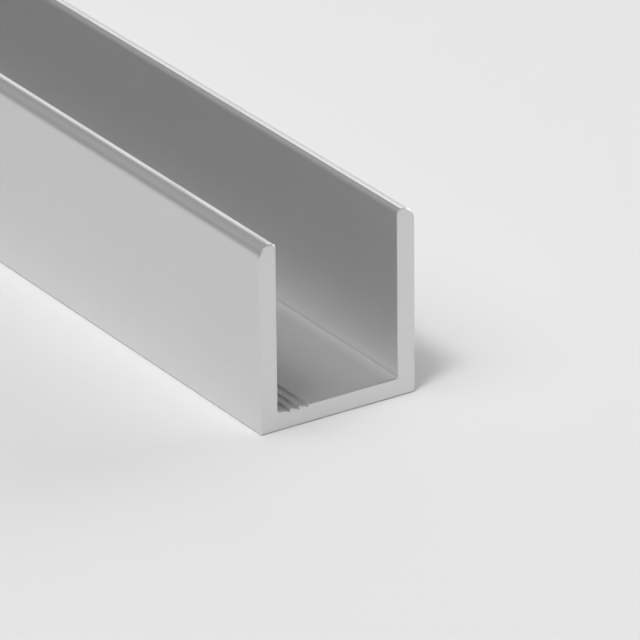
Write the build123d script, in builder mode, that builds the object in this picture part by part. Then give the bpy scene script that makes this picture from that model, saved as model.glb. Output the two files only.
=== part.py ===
"""A length of aluminium U-channel: one extruded piece with fine saw-tooth grooves in its slot's floor.

The channel lies on its base with the slot open upwards. X runs across it, Y along it and Z up,
and the origin is under the middle of the base, halfway along the length.
"""
import os

from build123d import *

os.makedirs("parts", exist_ok=True)

# The section's main sizes, in millimetres
channel_width = 18.0
channel_height = 20.0
flange_wall = 2.0
base_thickness = 2.0

# The length that the bar is sawn to, and the width of the deburred edge round each sawn end
stock_length = 1000.0
end_break = 0.1

# A die leaves no knife-sharp corner: fine rounds on the bottom edges and in the slot's two corners
bottom_edge_radius = 0.2
slot_corner_radius = 0.2

# Each flange tip has a small round towards the slot, a narrow flat, and a large round outside,
# which takes what is left of the wall
inner_tip_radius = 0.5
tip_flat = 0.1
outer_tip_radius = flange_wall - inner_tip_radius - tip_flat

# Saw-tooth grooves in the slot's floor, one after the other from a narrow land beside the flange at -X:
# each slopes down away from that flange and steps straight back up to the floor
groove_count = 3
groove_pitch = 1.05
groove_depth = 0.25
groove_land = 0.15

slot_width = channel_width - 2 * flange_wall
slot_depth = channel_height - base_thickness
first_groove = -slot_width / 2 + slot_corner_radius + groove_land

with BuildPart() as u_channel:
    with BuildSketch(Plane.XZ) as section:
        Rectangle(channel_width, channel_height, align=(Align.CENTER, Align.MIN))
        with Locations((0, base_thickness)):
            Rectangle(slot_width, slot_depth, align=(Align.CENTER, Align.MIN), mode=Mode.SUBTRACT)

        # Round the bottom edges and the slot's corners
        bottom_edges = section.vertices().group_by(Axis.Y)[0]
        fillet(bottom_edges, radius=bottom_edge_radius)
        slot_corners = section.vertices().filter_by_position(Axis.Y, base_thickness, base_thickness)
        fillet(slot_corners, radius=slot_corner_radius)

        # Round the flange tips, first the two outer corners and then the two beside the slot
        outer_tips = section.vertices().group_by(Axis.Y)[-1].sort_by(Axis.X)
        fillet([outer_tips.first, outer_tips.last], radius=outer_tip_radius)
        inner_tips = section.vertices().group_by(Axis.Y)[-1].sort_by(Axis.X)
        fillet(inner_tips[1:3], radius=inner_tip_radius)

        # Cut the grooves
        tooth = [(0, 0), (groove_pitch, -groove_depth), (groove_pitch, 0)]
        for groove in range(groove_count):
            with Locations((first_groove + groove * groove_pitch, base_thickness)):
                Polygon(*tooth, align=None, mode=Mode.SUBTRACT)
    extrude(amount=stock_length / 2, both=True)

    # Break the sharp edges that the saw leaves
    sawn_ends = u_channel.faces().filter_by(Axis.Y)
    chamfer(sawn_ends.edges(), length=end_break)

u_channel.part.label = "u_channel"
export_step(u_channel.part, "parts/u_channel.step")

size = u_channel.part.bounding_box().size
print(f"u_channel {size.X:.2f} x {size.Y:.2f} x {size.Z:.2f} mm, volume {u_channel.part.volume:.1f} mm3")
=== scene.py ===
# %% [markdown]
# # An aluminium U-channel, sawn from stock
#
# The bar is one extrusion: hot aluminium pushed through a die, stretched straight, etched and anodised
# to a soft grey satin, and sawn to length. Its exact solid comes from the CAD frame, with the rounded
# flange tips, the grooves in the slot and the broken edges of its ends already on it. Modelling it
# again would only make it less true, so this lesson gives the solid the finish of the real metal, sets
# it on a pale floor, lights it and places the camera.

# %% Load the frame
from math import cos, radians, sin

import bpy
from mathutils import Matrix, Vector


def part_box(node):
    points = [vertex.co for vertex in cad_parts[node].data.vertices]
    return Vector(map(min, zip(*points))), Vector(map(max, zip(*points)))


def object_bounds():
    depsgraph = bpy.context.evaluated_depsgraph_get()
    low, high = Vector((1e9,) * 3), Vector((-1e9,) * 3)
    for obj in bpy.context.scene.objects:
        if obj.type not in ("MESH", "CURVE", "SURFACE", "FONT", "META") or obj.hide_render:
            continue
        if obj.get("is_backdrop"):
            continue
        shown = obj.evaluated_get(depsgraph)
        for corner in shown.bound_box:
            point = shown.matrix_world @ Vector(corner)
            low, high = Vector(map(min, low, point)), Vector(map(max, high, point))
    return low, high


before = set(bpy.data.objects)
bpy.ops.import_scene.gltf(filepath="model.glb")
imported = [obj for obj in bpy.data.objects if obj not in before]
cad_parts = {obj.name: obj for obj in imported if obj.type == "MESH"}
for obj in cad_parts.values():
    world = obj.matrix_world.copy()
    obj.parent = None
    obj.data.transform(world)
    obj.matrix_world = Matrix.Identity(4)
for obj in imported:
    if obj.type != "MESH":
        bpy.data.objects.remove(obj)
cad_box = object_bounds()
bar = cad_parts["u_channel"]
bar_low, bar_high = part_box("u_channel")
mm = 0.001
print("bar size in mm:", [round(side / mm, 2) for side in bar_high - bar_low])

# %% [markdown]
# ## The camera
#
# The bar is seen from close to its sawn end through a very long lens, so its edges hardly converge. A
# short lens from nearby would give the same end face but would splay the long edges. The camera looks
# at the middle of the sawn end, from the left and above. Blender's camera looks down its own -Z axis,
# so it is first tipped up from straight down, then turned to its heading, and a small tilt about the
# view axis comes before both. The lens is given in millimetres, as on a real camera.

# %% Place the camera
view_heading = radians(32.87)
view_drop = radians(24.81)
view_tilt = radians(-0.56)
view_distance = 719.3 * mm
lens_length = 416.75
aim_point = Vector((-1.35 * mm, bar_low.y + 1.1 * mm, 10 * mm))

turn = Matrix.Rotation(-view_heading, 4, "Z")
tip = Matrix.Rotation(radians(90) - view_drop, 4, "X")
tilt = Matrix.Rotation(view_tilt, 4, "Z")
aim = turn @ tip @ tilt
step_back = aim.to_3x3() @ Vector((0, 0, view_distance))

camera_data = bpy.data.cameras.new("camera")
camera_data.lens = lens_length
camera = bpy.data.objects.new("camera", camera_data)
bpy.context.collection.objects.link(camera)
camera.matrix_world = Matrix.Translation(aim_point + step_back) @ aim
bpy.context.scene.camera = camera
bpy.context.view_layer.update()
print("camera stands at", [round(c, 3) for c in camera.matrix_world.translation])

# %% [markdown]
# ## The floor
#
# The bar lies on a pale sheet of studio paper. A plain plane is enough, as long as it is large enough
# to fill every view of a bar a metre long, and it keeps the bar's soft shadow. The paper is matt, and
# its grey is what the picture shows, because the lights are set so that a colour comes out as written.

# %% Lay the floor
floor_side = 60.0
floor_grey = 0.80
paper_roughness, paper_gloss = 0.9, 0.1

bpy.ops.object.select_all(action="DESELECT")
bpy.ops.mesh.primitive_plane_add(size=floor_side, location=(0, 0, 0))
floor = bpy.context.object
floor.name = "studio_floor"
paper = bpy.data.materials.new("studio_paper")
paper.use_nodes = True
paper_shader = paper.node_tree.nodes["Principled BSDF"]
paper_shader.inputs["Base Color"].default_value = (floor_grey, floor_grey, floor_grey, 1)
paper_shader.inputs["Roughness"].default_value = paper_roughness
paper_shader.inputs["Specular IOR Level"].default_value = paper_gloss
floor.data.materials.append(paper)
floor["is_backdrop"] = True
print("floor side in m:", floor_side)

# %% [markdown]
# ## The lamp
#
# A soft lamp hangs high on the left and a little in front, so the far flange throws a short shadow to
# the right. A sun with a wide disc does this at any distance, and it lights a long bar evenly. The
# lamp shines down its own -Z axis, so it is tipped away from straight down and then turned to its side.

# %% Hang the lamp
lamp_height = radians(67)
lamp_side = radians(23.6)
lamp_spread = radians(12)
lamp_strength = 0.97

lamp_data = bpy.data.lights.new("lamp", "SUN")
lamp_data.energy = lamp_strength
lamp_data.angle = lamp_spread
lamp = bpy.data.objects.new("lamp", lamp_data)
bpy.context.collection.objects.link(lamp)
tip_away = Matrix.Rotation(radians(90) - lamp_height, 4, "Y")
turn_aside = Matrix.Rotation(radians(180) + lamp_side, 4, "Z")
lamp.matrix_world = turn_aside @ tip_away
print("the lamp shines along", [round(c, 2) for c in lamp.matrix_world.to_3x3() @ Vector((0, 0, -1))])

# %% [markdown]
# ## Two helpers for node trees
#
# The studio and the metal are both built from shader nodes. The first helper adds one node, makes its
# settings, and fills or links the inputs that are named, so that a tree reads from top to bottom. Most
# nodes only work out a number, and the second helper is a short way to write those.

# %% Add one node, or work out one number
def put(tree, kind, values, **settings):
    """Add a node to a tree. Each value is a number, a vector or the output that feeds this input."""
    node = tree.nodes.new("ShaderNode" + kind)
    for setting, value in settings.items():
        setattr(node, setting, value)
    for socket, value in values.items():
        if isinstance(value, bpy.types.NodeSocket):
            tree.links.new(value, node.inputs[socket])
        else:
            node.inputs[socket].default_value = value
    return node


def work_out(tree, operation, first, second=0):
    """Add a Math node and return its result. An operation on one number ignores the second one."""
    return put(tree, "Math", {0: first, 1: second}, operation=operation).outputs["Value"]


print("put() adds one node to a tree, and work_out() one number")


# %% [markdown]
# ## The studio around the bar
#
# Metal has hardly a colour of its own: it shows the room. The room here is a dim grey studio with five
# soft lights: a large one over the left side beside the lamp, two low on the right, which light the
# inside of the slot, a small one behind, which draws the bright line along the flange tips, and a weak
# one at the back on the left, which the outer rounds of the tips show. Area lamps would need a place
# and a distance each, but only their directions matter, so each light is painted into the world as a
# round patch, full in its core and fading to its rim. All its angles are in degrees: the heading turns
# from +X towards +Y, the height is above the horizon, and the core and the rim are radii.

# %% Choose the soft lights
studio_grey = 0.12
soft_lights = {
    "upper left": {"heading": 180, "height": 65, "core": 12, "rim": 35, "strength": 2.34},
    "low right": {"heading": 5, "height": 22, "core": 8, "rim": 25, "strength": 3.0},
    "right behind": {"heading": 35, "height": 12, "core": 30, "rim": 45, "strength": 0.45},
    "behind": {"heading": 50, "height": 18, "core": 10, "rim": 25, "strength": 0.35},
    "left behind": {"heading": 120, "height": 12, "core": 15, "rim": 35, "strength": 0.10},
}
print("soft lights:", ", ".join(soft_lights))

# %% [markdown]
# ### Paint the lights into the world
#
# The dot product of two directions is the cosine of the angle between them. So one dot product with
# the middle of a light says how near to it each direction of the sky lies, and Map Range turns that
# into the light's strength. The strengths add up on top of the grey. The Standard view then shows each
# tone as it is, where Blender's usual one would dull the pale ones.

# %% Paint the studio
studio = bpy.data.worlds.new("studio")
bpy.context.scene.world = studio
studio.use_nodes = True
sky = studio.node_tree
direction = put(sky, "TexCoord", {}).outputs["Generated"]
brightness = studio_grey
for name, light in soft_lights.items():
    heading, height = radians(light["heading"]), radians(light["height"])
    middle = (cos(height) * cos(heading), cos(height) * sin(heading), sin(height))
    nearness = put(sky, "VectorMath", {0: direction, 1: middle}, operation="DOT_PRODUCT")
    fade = {
        "Value": nearness.outputs["Value"],
        "From Min": cos(radians(light["rim"])),
        "From Max": cos(radians(light["core"])),
        "To Max": light["strength"],
    }
    patch = put(sky, "MapRange", fade, interpolation_type="SMOOTHSTEP", label=name)
    brightness = work_out(sky, "ADD", patch.outputs["Result"], brightness)
background = sky.nodes["Background"]
background.inputs["Color"].default_value = (1, 1, 1, 1)
sky.links.new(brightness, background.inputs["Strength"])
bpy.context.scene.view_settings.view_transform = "Standard"
print("the sky has", len(sky.nodes), "nodes")

# %% [markdown]
# ## The finish, and the painted light on it
#
# Six marks are worked into such a bar. The die leaves faint lines along the whole length. The etch
# before anodising bites a fine even grain, which makes the metal satin instead of bright. The tone
# drifts a little from place to place. The slot's corners get a fine line of painted shade at each
# wall's foot and painted light on the floor's edge. The crests of the flange tips are rubbed smoother,
# and their lighter tone is a painted highlight. And the saw, which comes last, leaves bare metal with
# shallow arcs on both ends. A painted picture could hold all this, but only at one sharpness, so each
# is worked out by nodes, in a group that takes a place on the bar in millimetres and gives a pattern
# from 0 to 1. Its numbers can then be read as on a drawing.

# %% Start a node group
def open_group(name, inputs, outputs):
    """Make an empty node group, and return it with its input node and its output node."""
    group = bpy.data.node_groups.new(name, "ShaderNodeTree")
    for label in inputs:
        kind = "NodeSocketVector" if label == "Place" else "NodeSocketFloat"
        group.interface.new_socket(label, in_out="INPUT", socket_type=kind)
    for label in outputs:
        group.interface.new_socket(label, in_out="OUTPUT", socket_type="NodeSocketFloat")
    given = group.nodes.new("NodeGroupInput").outputs
    found = group.nodes.new("NodeGroupOutput").inputs
    return group, given, found


print("open_group() starts one node group")


# %% [markdown]
# ### Die lines
#
# Every tiny flaw on the die's edge draws one line down the whole bar. A Wave texture would space the
# lines evenly, so Noise is used, and the place is squeezed along Y before it is read: its grains
# become lines hundreds of times as long as they are wide, which fade in and out over the length.

# %% Draw the die lines
line_stretch = 400
squeeze = (1, 1 / line_stretch, 1)

die_lines, given, found = open_group("die lines", ["Place", "Width"], ["Lines"])
squeezed = put(die_lines, "VectorMath", {0: given["Place"], 1: squeeze}, operation="MULTIPLY")
per_mm = work_out(die_lines, "DIVIDE", 1, given["Width"])
line_reading = {"Vector": squeezed.outputs["Vector"], "Scale": per_mm, "Detail": 3}
line_noise = put(die_lines, "TexNoise", line_reading)
die_lines.links.new(line_noise.outputs["Fac"], found["Lines"])
print("a die line is", line_stretch, "times as long as it is wide")

# %% [markdown]
# ### Etched grain
#
# The caustic bath leaves round pits, all over and the same in every direction. Plain Noise at the
# size of the pits is that already. Read again at a size of centimetres, the same group gives the slow
# drift of the tone, so it takes its size as an input.

# %% Etch the grain
etched_grain, given, found = open_group("etched grain", ["Place", "Size"], ["Grain"])
per_mm = work_out(etched_grain, "DIVIDE", 1, given["Size"])
grain_reading = {"Vector": given["Place"], "Scale": per_mm, "Detail": 2}
grain_noise = put(etched_grain, "TexNoise", grain_reading)
etched_grain.links.new(grain_noise.outputs["Fac"], found["Grain"])
print("the grain group has", len(etched_grain.nodes), "nodes")

# %% [markdown]
# ### Slot corners, with painted shade and light
#
# The foot of each wall in the slot gets a fine dark line of painted shade, and the edge of the floor
# beside it is made a shade brighter with painted light. Shadow alone can't draw this, because two walls
# of metal that meet squarely mirror the same light. The group measures how far a place is from the wall
# and from the floor, and each of its two masks fades out with one of these distances.

# %% Measure from the slot's wall and floor
corner_inputs = ["Place", "Wall", "Floor", "Foot Height", "Edge Width"]

slot_corner, given, found = open_group("slot corner", corner_inputs, ["Foot", "Edge"])
at = put(slot_corner, "SeparateXYZ", {0: given["Place"]}).outputs
off_middle = work_out(slot_corner, "ABSOLUTE", at["X"])
off_wall = work_out(slot_corner, "SUBTRACT", off_middle, given["Wall"])
off_floor = work_out(slot_corner, "SUBTRACT", at["Z"], given["Floor"])
print("the corner group takes", ", ".join(corner_inputs))

# %% Trace the slot corners
on_face = 0.05


def near(distance, reach):
    """Give 1 where a distance is 0, fading to 0 where it is the reach or more, on either side."""
    size = work_out(slot_corner, "ABSOLUTE", distance)
    fade = {"Value": size, "From Max": reach, "To Min": 1, "To Max": 0}
    return put(slot_corner, "MapRange", fade, interpolation_type="SMOOTHSTEP").outputs["Result"]


# Foot places the painted shade on the wall's foot, Edge the painted light on the floor's edge.
low_on_wall = near(off_floor, given["Foot Height"])
foot = work_out(slot_corner, "MULTIPLY", low_on_wall, near(off_wall, on_face))
beside_wall = near(off_wall, given["Edge Width"])
edge = work_out(slot_corner, "MULTIPLY", beside_wall, near(off_floor, on_face))
slot_corner.links.new(foot, found["Foot"])
slot_corner.links.new(edge, found["Edge"])
print("the slot's corners are traced by", len(slot_corner.nodes), "nodes")

# %% [markdown]
# ### Rubbed crests, with a painted highlight
#
# A bar is stacked, slid and carried on its flange tips, so their crests are rubbed smoother than the
# rest. Their lighter tone is a painted highlight along the crests. Only what lies within some
# hundredths of a millimetre of the top has touched anything. A painted stripe would need its own map,
# but height says the same, so the mask fades in from that depth, and the top fifth of it is rubbed in
# full. Noise along the bar lets the rub come and go, down to a little over half of its strength.

# %% Find the crests
full_rub_from = 0.2

crest_rub_and_highlight, given, found = open_group("rubbed crest", ["Place", "Top", "Depth"], ["Rub"])
above_base = put(crest_rub_and_highlight, "SeparateXYZ", {0: given["Place"]}).outputs["Z"]
below_top = work_out(crest_rub_and_highlight, "SUBTRACT", given["Top"], above_base)
share = work_out(crest_rub_and_highlight, "DIVIDE", below_top, given["Depth"])
fade = {"Value": share, "From Min": 1, "From Max": full_rub_from}
closeness = put(crest_rub_and_highlight, "MapRange", fade, interpolation_type="SMOOTHSTEP").outputs["Result"]
print("the rub is full in the top", full_rub_from, "of its depth")

# %% Rub the crests
rub_patch = 6.0
weak_rub = 0.6
weak_at, full_at = 0.3, 0.5

patch_reading = {"Vector": given["Place"], "Scale": 1 / rub_patch, "Detail": 3}
patches = put(crest_rub_and_highlight, "TexNoise", patch_reading).outputs["Fac"]
swell = {"Value": patches, "From Min": weak_at, "From Max": full_at, "To Min": weak_rub}
come_and_go = put(crest_rub_and_highlight, "MapRange", swell).outputs["Result"]
# This mask also places the painted highlight on the crests.
rub_and_highlight = work_out(crest_rub_and_highlight, "MULTIPLY", closeness, come_and_go)
crest_rub_and_highlight.links.new(rub_and_highlight, found["Rub"])
print("the rub comes and goes over about", rub_patch, "mm")

# %% [markdown]
# ### Sawn ends
#
# A circular saw sweeps across the bar, and its teeth leave shallow arcs about the blade's middle,
# which lies far outside the section. So the distance from that middle, read through a noise of one
# dimension, gives arcs of uneven depth. The group also gives a mask of the sawn metal: all that lies
# beyond the extruded skin at either end, which takes in the broken edges round the cut.

# %% Saw the ends
blade_middle = (70.0, 0.0, -160.0)
flatten = (1, 0, 1)

sawn_end, given, found = open_group("sawn end", ["Place", "Starts At", "Spacing"], ["Mask", "Arcs"])
along = put(sawn_end, "SeparateXYZ", {0: given["Place"]}).outputs["Y"]
from_middle = work_out(sawn_end, "ABSOLUTE", along)
mask = work_out(sawn_end, "GREATER_THAN", from_middle, given["Starts At"])
flat = put(sawn_end, "VectorMath", {0: given["Place"], 1: flatten}, operation="MULTIPLY")
reach = put(sawn_end, "VectorMath", {0: flat.outputs["Vector"], 1: blade_middle}, operation="DISTANCE")
turns = work_out(sawn_end, "DIVIDE", reach.outputs["Value"], given["Spacing"])
arc_reading = {"W": turns, "Scale": 1, "Detail": 1}
arcs = put(sawn_end, "TexNoise", arc_reading, noise_dimensions="1D").outputs["Fac"]
sawn_end.links.new(mask, found["Mask"])
sawn_end.links.new(arcs, found["Arcs"])
print("the blade's arcs have a radius of about", round(Vector(blade_middle).length), "mm")

# %% [markdown]
# ## The metal
#
# The shader is satin metal. The anodised layer is a little milky, so a tenth of the light is scattered
# in it, and it soaks up some of the light that only grazes it, so the specular tint is under white.
# The patterns then move three things by a little: the tone, the roughness, and the height of the
# surface. A swing is how far a value moves while its pattern goes from 0 to 1. Sizes on the bar are in
# millimetres, and so is the depth that the rub reaches. The depths of the lines, the grain and the arcs
# are in thousandths of a millimetre, which is what such marks really are.

# %% Choose the sizes and strengths of the marks
metal_share, edge_tint = 0.9, 0.8
skin_tone, skin_roughness, skin_gloss_swing = 0.765, 0.42, 0.06
drift_size, drift_swing = 30.0, 0.05
line_width, line_depth, line_swing = 0.22, 3.0, 0.04
grain_size, grain_depth = 0.10, 1.2
wall_thickness = 2.0
slot_wall, slot_floor = bar_high.x / mm - wall_thickness, wall_thickness
# The wall's foot is darkened with painted shade, and the floor's edge beside it lightened with painted
# light.
foot_height, foot_shade_swing = 0.45, -0.15
edge_width, edge_light_swing = 1.8, 0.11
# The crests' tone of 0.90 is a painted highlight, and their lower roughness is real rubbing.
rub_highlight_tone, rub_roughness, rub_depth = 0.90, 0.19, 0.055
bare_tone, bare_roughness = 0.78, 0.42
arc_spacing, arc_depth = 0.30, 4.0
arc_swing, arc_gloss_swing = 0.05, 0.08
broken_edge, edge_margin = 0.1, 0.01
micrometre = 0.000001
print("die lines", line_width, "mm wide, grain", grain_size, "mm, saw arcs", arc_spacing, "mm apart")

# %% [markdown]
# ### Read the patterns
#
# Object coordinates are places on the bar itself, in metres, so the patterns stay on it wherever it
# goes. Turned into millimetres, they feed every group. The skin ends a hair before the broken edges of
# the ends, so that these count as sawn.

# %% Read the patterns of the skin and the ends
metal = bpy.data.materials.new("anodised_aluminium")
metal.use_nodes = True
tree = metal.node_tree


def read(group, values):
    """Put a node group into the metal, give it the place and its values, and return its outputs."""
    return put(tree, "Group", {"Place": place, **values}, node_tree=group).outputs


coordinates = put(tree, "TexCoord", {}).outputs["Object"]
place = put(tree, "VectorMath", {0: coordinates, "Scale": 1 / mm}, operation="SCALE").outputs["Vector"]
lines = read(die_lines, {"Width": line_width})["Lines"]
grain = read(etched_grain, {"Size": grain_size})["Grain"]
drift = read(etched_grain, {"Size": drift_size})["Grain"]
rub_and_highlight = read(crest_rub_and_highlight, {"Top": bar_high.z / mm, "Depth": rub_depth})["Rub"]
skin_ends_at = bar_high.y / mm - broken_edge - edge_margin
sawn = read(sawn_end, {"Starts At": skin_ends_at, "Spacing": arc_spacing})
print("the skin ends", round(bar_high.y / mm - skin_ends_at, 2), "mm before each end of the bar")

# %% Read the pattern of the slot's corners
marks = {"Foot Height": foot_height, "Edge Width": edge_width}
corners = read(slot_corner, {"Wall": slot_wall, "Floor": slot_floor, **marks})
print("the corner line is", foot_height, "mm high, and the edge beside it", edge_width, "mm wide")

# %% [markdown]
# ### Mix the tone, the gloss and the relief
#
# The skin's tone, roughness and height each swing with its patterns, and its tone takes the painted
# shade at the foot of the slot's walls and the painted light on the floor's edge. The masks then swap
# the skin's values for those of the rubbed crests, whose lighter tone is a painted highlight, and for
# those of the bare sawn metal at both ends. A separate material for the ends would need its own faces,
# but a mask needs none. One Bump node turns the heights into shading.

# %% Define three ways to mix values
def swing(pattern, middle, spread):
    """Turn a pattern from 0 to 1 into a value that swings about its middle."""
    values = {0: pattern, 1: spread, 2: middle - spread / 2}
    return put(tree, "Math", values, operation="MULTIPLY_ADD").outputs["Value"]


def add(first, second):
    """Add two values that vary over the surface."""
    return work_out(tree, "ADD", first, second)


def either(mask, common, special):
    """Take the common value, and the special one where the mask is 1."""
    return put(tree, "Mix", {0: mask, 2: common, 3: special}).outputs[0]


print("swing(), add() and either() mix the values of the metal")

# %% Mix the skin
# Painted shade at the foot of the slot's walls and painted light on the floor's edge go into the tone.
painted_foot_shade = work_out(tree, "MULTIPLY", corners["Foot"], foot_shade_swing)
painted_edge_light = work_out(tree, "MULTIPLY", corners["Edge"], edge_light_swing)
plain_shade = add(swing(drift, skin_tone, drift_swing), swing(lines, 0, line_swing))
# Where the crests are rubbed, their lighter tone is a painted highlight.
skin_shade = either(rub_and_highlight, add(plain_shade, add(painted_foot_shade, painted_edge_light)), rub_highlight_tone)
plain_gloss = add(swing(lines, skin_roughness, skin_gloss_swing), swing(grain, 0, skin_gloss_swing))
skin_gloss = either(rub_and_highlight, plain_gloss, rub_roughness)
skin_height = add(swing(lines, 0, line_depth), swing(grain, 0, grain_depth))
print("the skin is mixed from", len(tree.nodes), "nodes")

# %% Mix the sawn ends with the skin
bare, arcs = sawn["Mask"], sawn["Arcs"]
tone = either(bare, skin_shade, swing(arcs, bare_tone, arc_swing))
roughness = either(bare, skin_gloss, swing(arcs, bare_roughness, arc_gloss_swing))
height = either(bare, skin_height, swing(arcs, 0, arc_depth))
bump = put(tree, "Bump", {"Height": height, "Strength": 1, "Distance": micrometre})
print("the metal has", len(tree.nodes), "nodes")

# %% Coat the bar
metal_shader = tree.nodes["Principled BSDF"]
metal_shader.inputs["Metallic"].default_value = metal_share
metal_shader.inputs["Specular Tint"].default_value = (edge_tint, edge_tint, edge_tint, 1)
tree.links.new(tone, metal_shader.inputs["Base Color"])
tree.links.new(roughness, metal_shader.inputs["Roughness"])
tree.links.new(bump.outputs["Normal"], metal_shader.inputs["Normal"])
for slot in bar.material_slots:
    slot.material = metal
print("material slots coated:", len(bar.material_slots))

# %% [markdown]
# ## Light inside the slot
#
# Light that falls into the slot goes from wall to wall several times before it comes out. The usual
# limit of four glossy bounces cuts it off too early and leaves the slot too dark, so it is raised.

# %% Let the light bounce
slot_bounces = 12

bpy.context.scene.cycles.glossy_bounces = slot_bounces
print("glossy bounces:", bpy.context.scene.cycles.glossy_bounces)

# %% [markdown]
# ## Measure the size against the solid
#
# The finish adds no shape, so the box of what is shown must be the box of the solid. The last cell
# measures how far its corners have moved from those of the solid.

# %% Measure how far the box has grown
visual_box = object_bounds()
corner_moves = [(Vector(shown) - Vector(solid)).length for shown, solid in zip(visual_box, cad_box)]
print("the box has grown by", round(max(corner_moves) / mm, 3), "mm")
